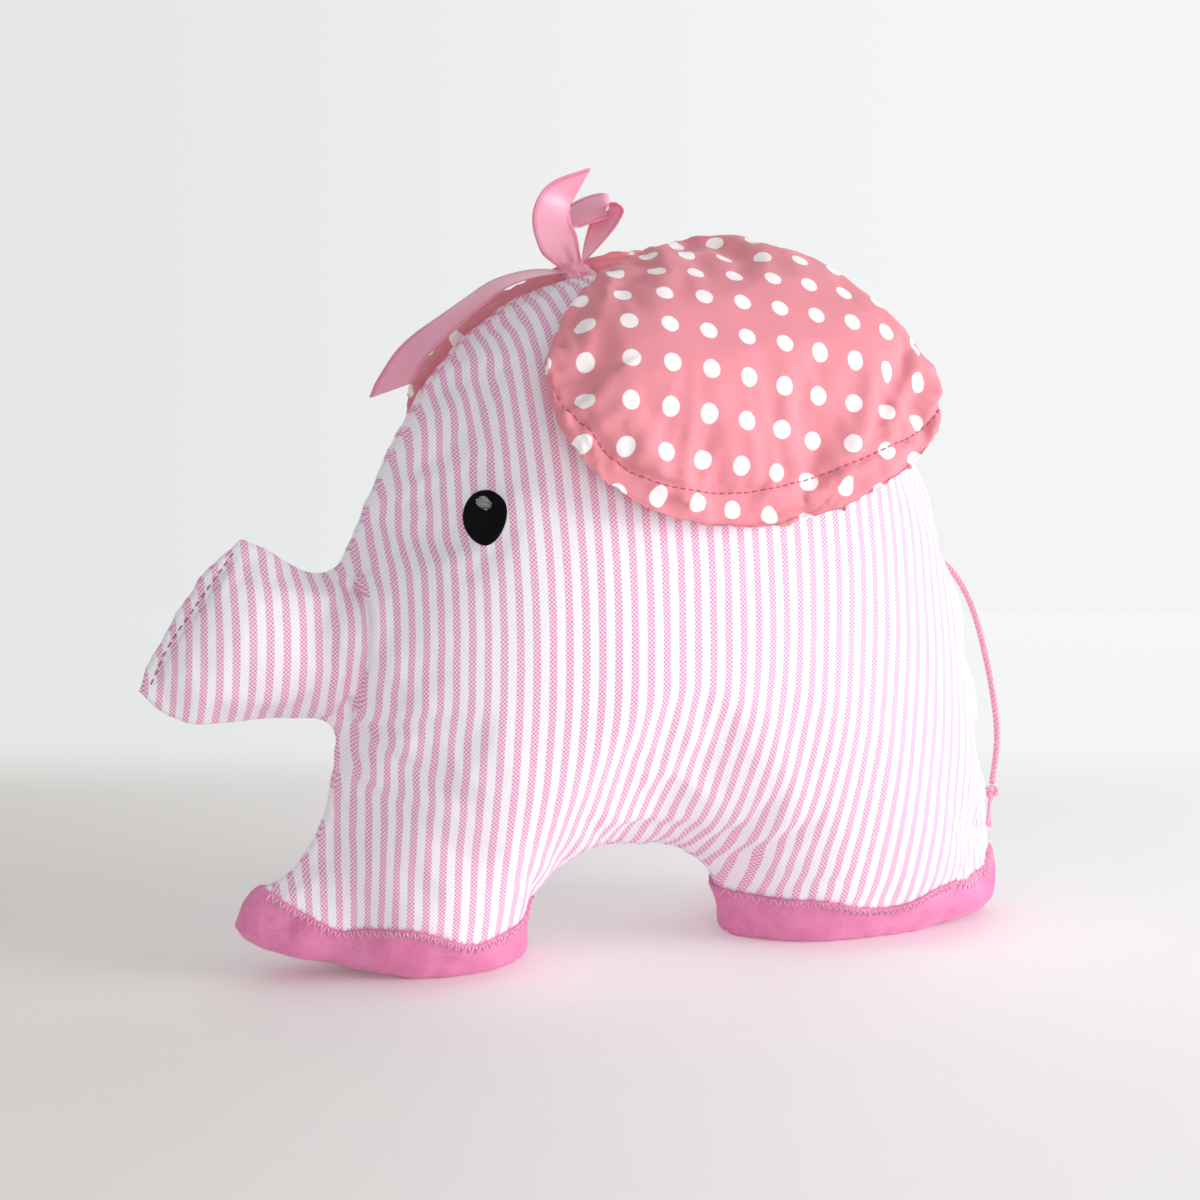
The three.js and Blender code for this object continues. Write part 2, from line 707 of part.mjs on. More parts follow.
add("ribbon_loop", ribbonLoop(), pinkSatin);
add("tail_cord", cord(tailRoute), pinkCord);
add("tail_knot", tailKnot(), pinkCord);

export default elephant;
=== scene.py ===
# %% [markdown]
# A stuffed elephant, sewn from striped cotton, with padded dotted ears, felt feet and eyes, a
# satin bow and a cord tail. The measured model is loaded first. Every soft piece is then made
# anew over it, because cloth has puckers, creases and threads that a measured model leaves out.

# %% Load the measured model
import bpy, json, math
import numpy as np
from mathutils import Matrix, Vector, noise
from mathutils.bvhtree import BVHTree
from mathutils.kdtree import KDTree


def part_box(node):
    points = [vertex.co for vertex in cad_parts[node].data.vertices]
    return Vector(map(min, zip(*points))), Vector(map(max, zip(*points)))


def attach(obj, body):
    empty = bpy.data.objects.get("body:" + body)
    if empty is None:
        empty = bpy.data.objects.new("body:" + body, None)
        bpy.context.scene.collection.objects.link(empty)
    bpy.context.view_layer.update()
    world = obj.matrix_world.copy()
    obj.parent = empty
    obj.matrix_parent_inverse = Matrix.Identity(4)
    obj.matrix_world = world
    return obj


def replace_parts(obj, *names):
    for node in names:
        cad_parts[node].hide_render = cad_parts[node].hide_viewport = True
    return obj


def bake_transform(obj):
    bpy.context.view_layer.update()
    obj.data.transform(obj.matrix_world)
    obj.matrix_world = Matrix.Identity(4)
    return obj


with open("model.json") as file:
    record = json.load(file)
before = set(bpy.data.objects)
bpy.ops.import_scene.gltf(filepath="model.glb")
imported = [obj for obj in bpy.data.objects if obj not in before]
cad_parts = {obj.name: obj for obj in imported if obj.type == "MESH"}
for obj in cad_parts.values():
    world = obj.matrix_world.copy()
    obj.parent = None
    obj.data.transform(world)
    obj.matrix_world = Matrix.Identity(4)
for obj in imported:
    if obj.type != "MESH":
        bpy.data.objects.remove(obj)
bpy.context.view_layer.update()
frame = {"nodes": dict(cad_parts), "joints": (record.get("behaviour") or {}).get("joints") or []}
MM = 0.001

# %% [markdown]
# The camera stands half a metre away, level, a little towards the toy's face. The lens is moved
# down inside the camera, so that the toy's upright lines stay upright.

# %% Camera
camera = bpy.data.objects.new("camera", bpy.data.cameras.new("camera"))
bpy.context.scene.collection.objects.link(camera)
LENS, SENSOR, LENS_SHIFT = 50, 36, -0.0858
CAMERA_AWAY, CAMERA_HEIGHT = 0.5, 0.134
turn = math.radians(-20)
camera.data.lens, camera.data.sensor_width, camera.data.shift_y = LENS, SENSOR, LENS_SHIFT
camera.location = (CAMERA_AWAY * math.sin(turn), -CAMERA_AWAY * math.cos(turn), CAMERA_HEIGHT)
camera.rotation_euler = (math.radians(90), 0, turn)
bpy.context.scene.camera = camera
print("camera at", [round(v, 3) for v in camera.location])

# %% [markdown]
# Colours are picked as a screen shows them. Blender mixes light, so each one is turned to light
# values first. One helper adds any node with its settings and its links.

# %% Colours and nodes
def light(code):
    parts = [int(code[i:i + 2], 16) / 255 for i in (0, 2, 4)]
    return tuple(p / 12.92 if p <= 0.04045 else ((p + 0.055) / 1.055) ** 2.4 for p in parts) + (1,)


def put(tree, kind, settings=None, links=None):
    node = tree.nodes.new("ShaderNode" + kind)
    for key, value in (settings or {}).items():
        if isinstance(key, int) or key in node.inputs:
            node.inputs[key].default_value = value
        else:
            setattr(node, key, value)
    for key, source in (links or {}).items():
        tree.links.new(source if isinstance(source, bpy.types.NodeSocket) else source.outputs[0], node.inputs[key])
    return node


def material(name, settings):
    made = bpy.data.materials.new(name)
    made.use_nodes = True
    tree = made.node_tree
    tree.nodes.clear()
    shader = put(tree, "BsdfPrincipled", settings)
    put(tree, "OutputMaterial", None, {"Surface": shader})
    return made, tree, shader


def finish_colour(tree, shader, colour, height, depth, strength=1.0):
    tree.links.new(colour, shader.inputs["Base Color"])
    bump = put(tree, "Bump", {"Strength": strength, "Distance": depth}, {"Height": height})
    tree.links.new(bump.outputs[0], shader.inputs["Normal"])


def blend_colours(tree, share, first, second):
    mix = put(tree, "Mix", {"data_type": "RGBA"})
    for index, part in ((6, first), (7, second)):
        if isinstance(part, tuple):
            mix.inputs[index].default_value = part
        else:
            tree.links.new(part, mix.inputs[index])
    tree.links.new(share, mix.inputs[0])
    return mix.outputs[2]


# %% [markdown]
# The body is Oxford cotton with narrow stripes. The stripes are woven: pink threads cross white
# ones, so a pink stripe is really a fine check. The stripes follow the cloth, so they read the
# cloth's own flat coordinates, which each piece carries as an attribute called cloth.

# %% Striped cotton
STRIPE = 4.4 * MM  # from one pink stripe to the next
STRIPE_EDGE = (0.20, 0.27)  # where pink ends, as a share of the pitch from a stripe's middle
THREAD = 0.58 * MM
THREAD_EDGE = (0.15, 0.85)


def flat_cloth(tree):
    return put(tree, "Attribute", {"attribute_name": "cloth"}).outputs["Vector"]


def object_place(tree):
    return put(tree, "TexCoord").outputs["Object"]


def cloth_axes(tree):
    return put(tree, "SeparateXYZ", None, {0: flat_cloth(tree)})


def calc(tree, operation, first, second=0.0, third=0.0):
    node = put(tree, "Math", {"operation": operation})
    for index, part in enumerate((first, second, third)):
        if isinstance(part, (int, float)):
            node.inputs[index].default_value = part
        else:
            tree.links.new(part, node.inputs[index])
    return node.outputs[0]


def weave(tree, axes, pitch):
    waves = [calc(tree, "SINE", calc(tree, "MULTIPLY", axes.outputs[i], math.pi / pitch)) for i in (0, 1)]
    return calc(tree, "MULTIPLY_ADD", calc(tree, "MULTIPLY", waves[0], waves[1]), 0.5, 0.5)


def soft_step(tree, value, low, high):
    settings = {"interpolation_type": "SMOOTHSTEP", "From Min": low, "From Max": high}
    return put(tree, "MapRange", settings, {"Value": value}).outputs[0]


striped_cotton, tree, shader = material("striped_oxford_cotton", {
    "Roughness": 0.88, "IOR": 1.5, "Sheen Weight": 0.12, "Sheen Roughness": 0.5})
axes = cloth_axes(tree)
checks = weave(tree, axes, THREAD)
drift = put(tree, "TexNoise", {"Scale": 260.0, "Detail": 2.0}, {"Vector": object_place(tree)})
place = calc(tree, "MULTIPLY_ADD", drift.outputs[0], 0.35 * MM, axes.outputs[0])
repeat = calc(tree, "FRACT", calc(tree, "DIVIDE", place, STRIPE))
across = calc(tree, "ABSOLUTE", calc(tree, "SUBTRACT", repeat, 0.5))
in_stripe = calc(tree, "SUBTRACT", 1.0, soft_step(tree, across, *STRIPE_EDGE))
pink = blend_colours(tree, soft_step(tree, checks, *THREAD_EDGE), light("dc86b6"), light("fce3f1"))
white = blend_colours(tree, soft_step(tree, checks, *THREAD_EDGE), light("f1ebf3"), light("fbf9fc"))
finish_colour(tree, shader, blend_colours(tree, in_stripe, white, pink), checks, 0.08 * MM, 0.5)

# %% [markdown]
# The feet are wool felt: matted fibres with no weave, so the colour is mottled and the light
# catches loose hairs at the edges, which is what sheen gives. The eyes are the same stuff in black.

# %% Felt
def felt(name, deep, pale, mottle, settings):
    made, tree, shader = material(name, {"Roughness": 1.0, "IOR": 1.5, **settings})
    spot = object_place(tree)
    patchy = {"Scale": 1 / (9 * MM), "Detail": 3.0, "Roughness": 0.65}
    matted = {"Scale": 1 / (0.8 * MM), "Detail": 5.0, "Roughness": 0.7, "Distortion": 1.2}
    broad = put(tree, "TexNoise", patchy, {"Vector": spot})
    stretched = put(tree, "Mapping", {"Scale": (1, 1, 2.4), "Rotation": (0.3, 0.5, 0.2)}, {"Vector": spot})
    fibre = put(tree, "TexNoise", matted, {"Vector": stretched})
    both = calc(tree, "MULTIPLY_ADD", fibre.outputs[0], 0.6, calc(tree, "MULTIPLY", broad.outputs[0], 0.4))
    colour = blend_colours(tree, soft_step(tree, both, 0.5 - mottle, 0.5 + mottle), light(deep), light(pale))
    finish_colour(tree, shader, colour, fibre.outputs[0], 0.35 * MM, 0.6)
    return made


pink_felt = felt("pink_wool_felt", "d9699f", "ee98c2", 0.2, {
    "Sheen Weight": 0.5, "Sheen Roughness": 0.6, "Sheen Tint": light("f3b9d4")})
black_felt = felt("black_wool_felt", "050506", "111114", 0.2, {"Specular IOR Level": 0.1})

# %% [markdown]
# The ears are thin printed cotton: coral with round white dots in a square lattice, which lies a
# little turned on the ear, as it was cut. The weave is too fine to colour, so it only roughens.

# %% Dotted cotton
DOT_PITCH, DOT_SIZE = 11.0 * MM, 4.9 * MM
DOT_TURN = math.radians(8)
dotted_cotton, tree, shader = material("dotted_printed_cotton", {
    "Roughness": 0.82, "IOR": 1.5, "Sheen Weight": 0.1, "Sheen Roughness": 0.5})
flat = flat_cloth(tree)
lattice = {"Rotation": (0, 0, DOT_TURN), "Scale": (1 / DOT_PITCH,) * 3}
turned = put(tree, "Mapping", lattice, {"Vector": flat})
cell = put(tree, "VectorMath", {"operation": "FRACTION"}, {0: turned})
centred = put(tree, "VectorMath", {"operation": "SUBTRACT", 1: (0.5, 0.5, 0.0)}, {0: cell})
squashed = put(tree, "VectorMath", {"operation": "MULTIPLY", 1: (1, 1, 0)}, {0: centred})
radius = put(tree, "VectorMath", {"operation": "LENGTH"}, {0: squashed}).outputs["Value"]
rough_edge = put(tree, "TexNoise", {"Scale": 1 / (1.2 * MM)}, {"Vector": flat})
radius = calc(tree, "MULTIPLY_ADD", rough_edge.outputs[0], 0.02, radius)
edge = DOT_SIZE / 2 / DOT_PITCH
dot = calc(tree, "SUBTRACT", 1.0, soft_step(tree, radius, edge - 0.008, edge + 0.022))
fine = weave(tree, put(tree, "SeparateXYZ", None, {0: flat}), 0.24 * MM)
coral = blend_colours(tree, fine, light("dd828e"), light("e8959f"))
finish_colour(tree, shader, blend_colours(tree, dot, coral, light("fbf3f4")), fine, 0.05 * MM, 0.4)

# %% [markdown]
# Satin ribbon has long floating threads that lie one way, so it shines in bands. Those bands are
# painted into its colour as paler streaks along the ribbon: a painted sheen. Threads and cord
# are plain, matt or nearly so, with a twist that shows as fine slanted ridges.

# %% Satin, threads and cord
RIB = 0.35 * MM
SELVAGE = (4.4 * MM, 4.8 * MM)  # where the firm edge starts, from the ribbon's middle
pink_satin, tree, shader = material("pink_polyester_satin", {
    "Roughness": 0.34, "IOR": 1.55, "Sheen Weight": 0.3, "Sheen Roughness": 0.3, "Specular IOR Level": 0.6,
    "Subsurface Weight": 0.15, "Subsurface Radius": (0.002, 0.001, 0.001), "Subsurface Scale": 1.0})
axes = cloth_axes(tree)
ribs = calc(tree, "SINE", calc(tree, "MULTIPLY", axes.outputs[1], 2 * math.pi / RIB))
selvage = soft_step(tree, calc(tree, "ABSOLUTE", axes.outputs[0]), *SELVAGE)
long_way = put(tree, "Mapping", {"Scale": (1 / (0.5 * MM), 1 / (14 * MM), 1)}, {"Vector": flat_cloth(tree)})
# Painted sheen: paler streaks along the ribbon, put into its colour in place of shine.
painted_sheen_bands = put(tree, "TexNoise", {"Scale": 1.0, "Detail": 3.0}, {"Vector": long_way})
satin = blend_colours(tree, painted_sheen_bands.outputs[0], light("ee98b2"), light("f8b0c4"))
finish_colour(tree, shader, blend_colours(tree, selvage, satin, light("e78aa6")), ribs, 0.03 * MM, 0.35)


def thread(name, deep, pale, settings, grain=0.5):
    made, tree, shader = material(name, {"Roughness": 0.75, "IOR": 1.5, **settings})
    fuzz = put(tree, "TexNoise", {"Scale": 1 / (grain * MM), "Detail": 3.0}, {"Vector": object_place(tree)})
    colour = blend_colours(tree, fuzz.outputs[0], light(deep), light(pale))
    finish_colour(tree, shader, colour, fuzz.outputs[0], 0.1 * MM, 0.5)
    return made


cord_yarn = thread("pink_cotton_cord", "cf7fa0", "f0b4c9", {"Sheen Weight": 0.4})
pale_thread = thread("pale_pink_sewing_thread", "e9a2c0", "f9d3e2", {})
white_thread = thread("white_sewing_thread", "d8d2d6", "f6f3f5", {})
coral_thread = thread("dark_coral_sewing_thread", "b04a60", "cc6d80", {})
mauve_thread = thread("mauve_sewing_thread", "7e5c66", "a98590", {})
silver_thread = thread("silver_metal_thread", "8a8a90", "e2e3e6", {"Roughness": 0.5, "Metallic": 0.3}, 0.3)
print("materials:", len(bpy.data.materials))

# %% [markdown]
# Helpers for meshes. A new piece is made from points and faces, or from merged copies of the
# measured pieces. A tube follows a line of points, for cords and threads. Places are worked on all
# at once, as rows of numbers, because a piece has many thousands of points.

# %% Mesh helpers
def new_piece(name, points, faces, finish):
    mesh = bpy.data.meshes.new(name)
    mesh.from_pydata([tuple(p) for p in points], [], [tuple(f) for f in faces])
    piece = bpy.data.objects.new(name, mesh)
    bpy.context.scene.collection.objects.link(piece)
    mesh.materials.append(finish)
    mesh.shade_smooth()
    return piece


def pick(piece):
    bpy.ops.object.select_all(action="DESELECT")
    piece.select_set(True)
    bpy.context.view_layer.objects.active = piece


def edit_mesh(piece, weld=None, mend=False):
    """Join points closer than weld, then turn the faces outward where mend says so."""
    pick(piece)
    bpy.ops.object.mode_set(mode="EDIT")
    bpy.ops.mesh.select_all(action="SELECT")
    if weld:
        bpy.ops.mesh.remove_doubles(threshold=weld)
    if mend:
        bpy.ops.mesh.normals_make_consistent(inside=False)
    bpy.ops.object.mode_set(mode="OBJECT")


def apply_modifier(piece, kind, **settings):
    pick(piece)
    modifier = piece.modifiers.new("shape", kind)
    for key, value in settings.items():
        setattr(modifier, key, value)
    bpy.ops.object.modifier_apply(modifier=modifier.name)


def merged_copy(name, nodes, finish):
    points, faces = [], []
    for node in nodes:
        source = frame["nodes"][node]
        shift = len(points)
        points += [source.matrix_world @ v.co for v in source.data.vertices]
        faces += [[shift + i for i in f.vertices] for f in source.data.polygons]
    piece = new_piece(name, points, faces, finish)
    edit_mesh(piece, weld=0.02 * MM)
    return piece


def places(piece):
    found = np.empty(len(piece.data.vertices) * 3)
    piece.data.vertices.foreach_get("co", found)
    return found.reshape(-1, 3)


def move_to(piece, where):
    piece.data.vertices.foreach_set("co", np.asarray(where, float).ravel())
    piece.data.update()


def normals(piece):
    found = np.empty(len(piece.data.vertices) * 3)
    piece.data.vertex_normals.foreach_get("vector", found)
    return found.reshape(-1, 3)


def set_cloth(piece, across, along):
    layer = piece.data.attributes.new("cloth", "FLOAT_VECTOR", "POINT")
    flat = np.column_stack([across, along, np.zeros(len(across))])
    layer.data.foreach_set("vector", flat.astype(np.float32).ravel())


def flat_line(points, spacing):
    """A smooth line through (x, z) places given in millimetres."""
    return smooth_line([Vector((x, 0, z)) * MM for x, z in points], spacing)


def pairs(line):
    return np.array([(p.x, p.z) for p in line])


def smooth_line(points, spacing):
    keys = [Vector(p) for p in points]
    keys = [keys[0] * 2 - keys[1]] + keys + [keys[-1] * 2 - keys[-2]]
    line = []
    for a, b, c, d in zip(keys, keys[1:], keys[2:], keys[3:]):
        steps = max(1, round((c - b).length / spacing))
        for i in range(steps):
            t = i / steps
            bend, twist = 2 * a - 5 * b + 4 * c - d, 3 * b - a - 3 * c + d
            line.append(0.5 * (2 * b + (c - a) * t + bend * t * t + twist * t ** 3))
    return line + [keys[-2]]


def tube(line, radius, sides=6, taper=0):
    points, faces = [], []
    side = (line[1] - line[0]).orthogonal().normalized()
    for i, centre in enumerate(line):
        ahead = (line[min(i + 1, len(line) - 1)] - line[max(i - 1, 0)]).normalized()
        side = (side - ahead * side.dot(ahead)).normalized()
        up = ahead.cross(side)
        size = radius * (min(1.0, (min(i, len(line) - 1 - i) + 0.6) / taper) if taper else 1)
        for k in range(sides):
            angle = 2 * math.pi * k / sides
            points.append(centre + side * (size * math.cos(angle)) + up * (size * math.sin(angle)))
    for i in range(len(line) - 1):
        for k in range(sides):
            a, b = i * sides + k, i * sides + (k + 1) % sides
            faces.append((a, b, b + sides, a + sides))
    faces.append(tuple(range(sides))[::-1])
    faces.append(tuple((len(line) - 1) * sides + k for k in range(sides)))
    return points, faces


def tubes(name, lines, radius, finish, sides=6, taper=0):
    points, faces = [], []
    for line in lines:
        more, around = tube(line, radius, sides, taper)
        faces += [[len(points) + i for i in f] for f in around]
        points += more
    return new_piece(name, points, faces, finish)


def lumps(where, size, seed=0.0):
    return np.array([noise.noise(Vector(p) / size + Vector((seed, seed, seed))) for p in where])


# %% [markdown]
# The tail is a cord of three twisted yarns, 2 mm thick. It leaves the back seam, hangs in one long
# curve behind the rump and comes back to it at a knot, below which the yarns fray.

# %% Tail cord
tail_keys = [
    (116.6, 0, 113.4), (119, 0, 112.2), (121.8, 0, 109.8), (124.6, 0, 106.4), (127.2, 0, 102.2), (129.4, 0, 97.6),
    (131.3, 0, 92.6), (133, 0, 87), (134.6, 0, 81), (136, 0, 75), (137.2, 0, 69), (138, -0.3, 63),
    (138.1, -1, 57.5), (137.4, -1.8, 52), (136, -2.8, 46.5), (134.2, -4, 41),
]
tail_line = smooth_line([Vector(p) * MM for p in tail_keys], 0.4 * MM)
CORD = 2.0 * MM


def twisted(line, thickness, turns_per_metre, seed=0.0):
    yarns = []
    run = 0.0
    side = (line[1] - line[0]).orthogonal().normalized()
    frames = []
    for i, centre in enumerate(line):
        ahead = (line[min(i + 1, len(line) - 1)] - line[max(i - 1, 0)]).normalized()
        side = (side - ahead * side.dot(ahead)).normalized()
        run += (centre - line[i - 1]).length if i else 0
        frames.append((centre, side, ahead.cross(side), run))
    for yarn in range(3):
        strand = []
        for centre, side, up, run in frames:
            angle = 2 * math.pi * (yarn / 3 + run * turns_per_metre) + seed
            strand.append(centre + (side * math.cos(angle) + up * math.sin(angle)) * thickness * 0.27)
        yarns.append(strand)
    return yarns


def overhand(t):
    wide, tall = math.sin(t) + 2 * math.sin(2 * t), math.cos(t) - 2 * math.cos(2 * t)
    return Vector((0.62 * wide, -0.9 * math.sin(3 * t), 0.72 * tall))


tail = tubes("tail_cord_yarns", twisted(tail_line, CORD, 210), CORD * 0.26, cord_yarn, 7)
knot_middle = Vector((133.2, -4.9, 38.1)) * MM
knot_line = [knot_middle + overhand(t) * MM for t in np.linspace(0, 2 * math.pi, 60)]
END_BEND, END_TIP = Vector((-3.4, -4.1, -5.1)), Vector((-6.6, -8.5, -9.1))
ends = [smooth_line([knot_middle + way * MM for way in (Vector(), END_BEND, END_TIP + Vector((a, b, -b)))], 0.5 * MM)
        for a, b in ((0, 0), (1.2, 0.5), (-1.0, -0.4))]
knot = tubes("tail_knot_yarns", [knot_line], 0.85 * MM, cord_yarn, 8)
fray = tubes("tail_fray", ends, 0.5 * MM, cord_yarn, 6, taper=3)
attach(tail, "tail"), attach(knot, "tail"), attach(fray, "tail")
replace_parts(tail, "tail_cord"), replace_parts(knot, "tail_knot")

# %% [markdown]
# The body is two flat panels sewn together along their outline, trunk and all, and stuffed. Cloth
# that is filled swells until it is tight in the middle, while the seam stays as long as it was, so
# the cloth gathers there. That is simulated: the seam is pinned, the cloth is a little too big
# for its shape, and air pressure stands for the filling.

# %% Body
FILLING_STEPS = 18


def stuff(piece, pinned, pressure, spare, most):
    """Fill a piece. Spare is how much too big the cloth is, and most is how far a point may move."""
    start = places(piece).copy()
    group = piece.vertex_groups.new(name="seam")
    group.add([int(i) for i in np.flatnonzero(pinned)], 1.0, "REPLACE")
    cloth = piece.modifiers.new("filling", "CLOTH")
    cloth.settings.quality = 6
    cloth.settings.mass = 0.3
    cloth.settings.use_pressure = True
    cloth.settings.uniform_pressure_force = pressure
    cloth.settings.effector_weights.gravity = 0
    cloth.settings.vertex_group_mass = "seam"
    cloth.settings.shrink_min = -spare
    cloth.settings.bending_stiffness = 0.3
    cloth.settings.tension_stiffness = cloth.settings.compression_stiffness = 15
    cloth.collision_settings.use_collision = False
    cloth.point_cache.frame_start, cloth.point_cache.frame_end = 1, FILLING_STEPS
    for step in range(1, FILLING_STEPS + 1):
        bpy.context.scene.frame_set(step)
    pick(piece)
    bpy.ops.object.modifier_apply(modifier=cloth.name)
    bpy.context.scene.frame_set(1)
    moved = places(piece) - start
    far = np.linalg.norm(moved, axis=1, keepdims=True)
    move_to(piece, start + moved * np.minimum(1, most / np.maximum(far, 1e-9)))
    print(piece.name, "moved up to", round(far.max() / MM, 1), "mm, mean", round(far.mean() / MM, 1))


def rounded(piece, voxel, spread):
    """Remesh a shape evenly. Its edge is thinner than a voxel, so it is thickened by spread first."""
    move_to(piece, places(piece) + normals(piece) * spread)
    apply_modifier(piece, "REMESH", mode="VOXEL", voxel_size=voxel, adaptivity=0)
    apply_modifier(piece, "SMOOTH", factor=0.5, iterations=6)
    piece.data.shade_smooth()


BODY_KINDS = ("side_panel", "trunk_panel", "front_foot", "hind_foot")
BODY_NODES = [side + kind for side in ("left_", "right_") for kind in BODY_KINDS] + ["body_stuffing", "trunk_stuffing"]
body = merged_copy("stuffed_body", BODY_NODES, striped_cotton)
rounded(body, 3.0 * MM, 1.0 * MM)
move_to(body, places(body) - normals(body) * 0.4 * MM)
at, out = places(body), normals(body)
sole = (out[:, 2] < -0.5) & (at[:, 2] < 18 * MM)
on_seam = np.abs(at[:, 1]) < 2.5 * MM
stuff(body, on_seam | sole, pressure=4.0, spare=0.025, most=6 * MM)
apply_modifier(body, "SUBSURF", levels=1, render_levels=1)
print("body points", len(body.data.vertices))

# %% [markdown]
# What the simulation is too coarse for is pressed into the finished cushion: the groove of the
# seam with its small gathers, the deep fold where the trunk meets the head, and the creases that
# run out from every inward corner of the outline.

# %% Seam, fold and creases
def tree_of(points):
    tree = KDTree(len(points))
    for i, p in enumerate(points):
        tree.insert(Vector(p), i)
    tree.balance()
    return tree


at, out = places(body), normals(body)
in_profile = at * (1, 0, 1)
nearest = tree_of(in_profile[np.abs(at[:, 1]) < 1.2 * MM])
found = [nearest.find(Vector(p)) for p in in_profile]
from_seam = np.array([f[2] for f in found])
seam_place = np.array([f[0] for f in found])
off_seam = np.minimum(1, np.abs(at[:, 1]) / (3 * MM))
gather = lumps(seam_place, 4.5 * MM) * np.exp(-from_seam / (9 * MM)) * off_seam
GATHER, TRUNK_GATHER, GROOVE = 0.55 * MM, 0.25 * MM, 0.4 * MM
groove = np.exp(-(at[:, 1] / (1.1 * MM)) ** 2)
dent = np.where(at[:, 0] < -80 * MM, TRUNK_GATHER, GATHER) * gather - GROOVE * groove


def crease(line, depth, width, ends=0.25):
    """Press a line of (x, z) in millimetres into the cloth, with a low ridge on either side of it."""
    path = pairs(flat_line(line, 1.0 * MM))
    flat = at[:, (0, 2)]
    close = (flat >= path.min(0) - 12 * MM).all(1) & (flat <= path.max(0) + 12 * MM).all(1)
    effect = np.zeros(len(at))
    index = np.flatnonzero(close)
    gap = np.linalg.norm(flat[index][:, None] - path[None], axis=2)
    share = gap.argmin(1) / max(1, len(path) - 1)
    fade = np.clip(np.minimum(share, 1 - share) / ends, 0, 1) if ends else 1.0
    near = gap.min(1) / (width * MM)
    effect[index] = depth * MM * fade * (np.exp(-near ** 2) - 0.45 * np.exp(-((near - 2.2) / 1.1) ** 2))
    return effect


CREASES = [  # places in mm, depth in mm, width in mm, share of the length that fades out at each end
    ([(-79, 112), (-77, 104), (-77.5, 92), (-79, 80), (-80, 72)], 3.6, 1.7, 0.05),
    ([(-72, 100), (-74, 90), (-76, 80), (-79, 72)], 1.5, 1.6, 0.3),
    ([(-80, 71), (-68, 73), (-54, 75)], 1.2, 2.2, 0.3),
    ([(-80, 70), (-70, 62), (-58, 56), (-48, 50)], 1.3, 2.6, 0.3),
    ([(-84, 60), (-72, 52), (-60, 48)], 0.7, 2.2, 0.3),
    ([(-4, 29), (-10, 38), (-18, 46)], 0.6, 2.4, 0.3),
    ([(26, 28), (34, 40), (40, 54)], 0.9, 2.4, 0.3),
    ([(33, 22), (43, 34), (54, 42)], 1.0, 2.2, 0.3),
    ([(40, 14), (54, 20), (70, 22)], 0.7, 2.4, 0.3),
    ([(-64, 138), (-56, 144), (-48, 154)], 1.0, 2.2, 0.3),
    ([(-70, 130), (-62, 133), (-54, 140)], 0.8, 2.0, 0.3),
    ([(-20, 8), (-26, 22), (-36, 34)], 0.9, 2.4, 0.3),
    ([(-106.5, 121), (-113, 113), (-120, 103), (-126.5, 93), (-130.5, 84)], 1.3, 1.1, 0.1),
]
for line, depth, width, ends in CREASES:
    dent -= crease(line, depth, width, ends)
broad = lumps(at, 26 * MM, 3.0) * np.clip(from_seam / (15 * MM), 0, 1)
move_to(body, at + out * (dent + 0.45 * MM * broad)[:, None])
at = places(body)
at[:, 2] = np.maximum(at[:, 2], 0.4 * MM)
move_to(body, at)
body_shape = BVHTree.FromObject(body, bpy.context.evaluated_depsgraph_get())
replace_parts(body, *[n for n in BODY_NODES if "foot" not in n])
hinges = {joint["name"]: Vector(joint["pos_m"]) for joint in frame["joints"]}
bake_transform(body)
print("body half width", round(at[:, 1].max() / MM, 1))

# %% [markdown]
# Where the panel slopes away, its stripes come closer together to the eye. So the stripes can't
# simply follow the toy's length. The flat cloth is worked back from the shape: on a grid over the
# panel, neighbours along a row are as far apart on the cloth as the surface between them is long,
# neighbours in a column keep the same thread, and the whole settles between the two.

# %% Stripes on the flat cloth
STEP = 3 * MM
ROUNDS = 5000
COLUMN_PULL, LOOSE_PULL = 3.0, 0.03  # how hard a column holds together, and any link off the panel
STEEPEST = 1.45  # a row's link is never longer than this many steps
grid_x, grid_z = np.arange(-0.144, 0.145, STEP), np.arange(-0.003, 0.213, STEP)
height = np.zeros((len(grid_x), len(grid_z)))
for i, x in enumerate(grid_x):
    for j, z in enumerate(grid_z):
        hit = body_shape.ray_cast(Vector((x, -0.2, z)), Vector((0, 1, 0)))[0]
        height[i, j] = -hit.y if hit else 0
inside = height > 0
in_row, in_column = inside[1:] & inside[:-1], inside[:, 1:] & inside[:, :-1]
row_pull = np.where(in_row, 1.0, LOOSE_PULL)
column_pull = COLUMN_PULL * np.where(in_column, 1.0, LOOSE_PULL)
on_surface = np.minimum(np.hypot(STEP, np.diff(height, axis=0)), STEEPEST * STEP)
row_length = np.where(in_row, on_surface, STEP)
thread_at = np.repeat(grid_x[:, None], len(grid_z), axis=1)
pulls = np.zeros_like(thread_at)
pulls[1:] += row_pull
pulls[:-1] += row_pull
pulls[:, 1:] += column_pull
pulls[:, :-1] += column_pull
for _ in range(ROUNDS):
    wanted = np.zeros_like(thread_at)
    wanted[1:] += row_pull * (thread_at[:-1] + row_length)
    wanted[:-1] += row_pull * (thread_at[1:] - row_length)
    wanted[:, 1:] += column_pull * thread_at[:, :-1]
    wanted[:, :-1] += column_pull * thread_at[:, 1:]
    thread_at = wanted / pulls


def on_grid(where):
    i, j = (where[:, 0] - grid_x[0]) / STEP, (where[:, 2] - grid_z[0]) / STEP
    i, j = np.clip(i, 0, len(grid_x) - 1.001), np.clip(j, 0, len(grid_z) - 1.001)
    a, b = i.astype(int), j.astype(int)
    s, t = i - a, j - b
    low = (1 - s) * thread_at[a, b] + s * thread_at[a + 1, b]
    high = (1 - s) * thread_at[a, b + 1] + s * thread_at[a + 1, b + 1]
    return (1 - t) * low + t * high


set_cloth(body, on_grid(at), at[:, 2])
print("cloth is", round((thread_at[inside].max() - thread_at[inside].min()) / MM), "mm wide")


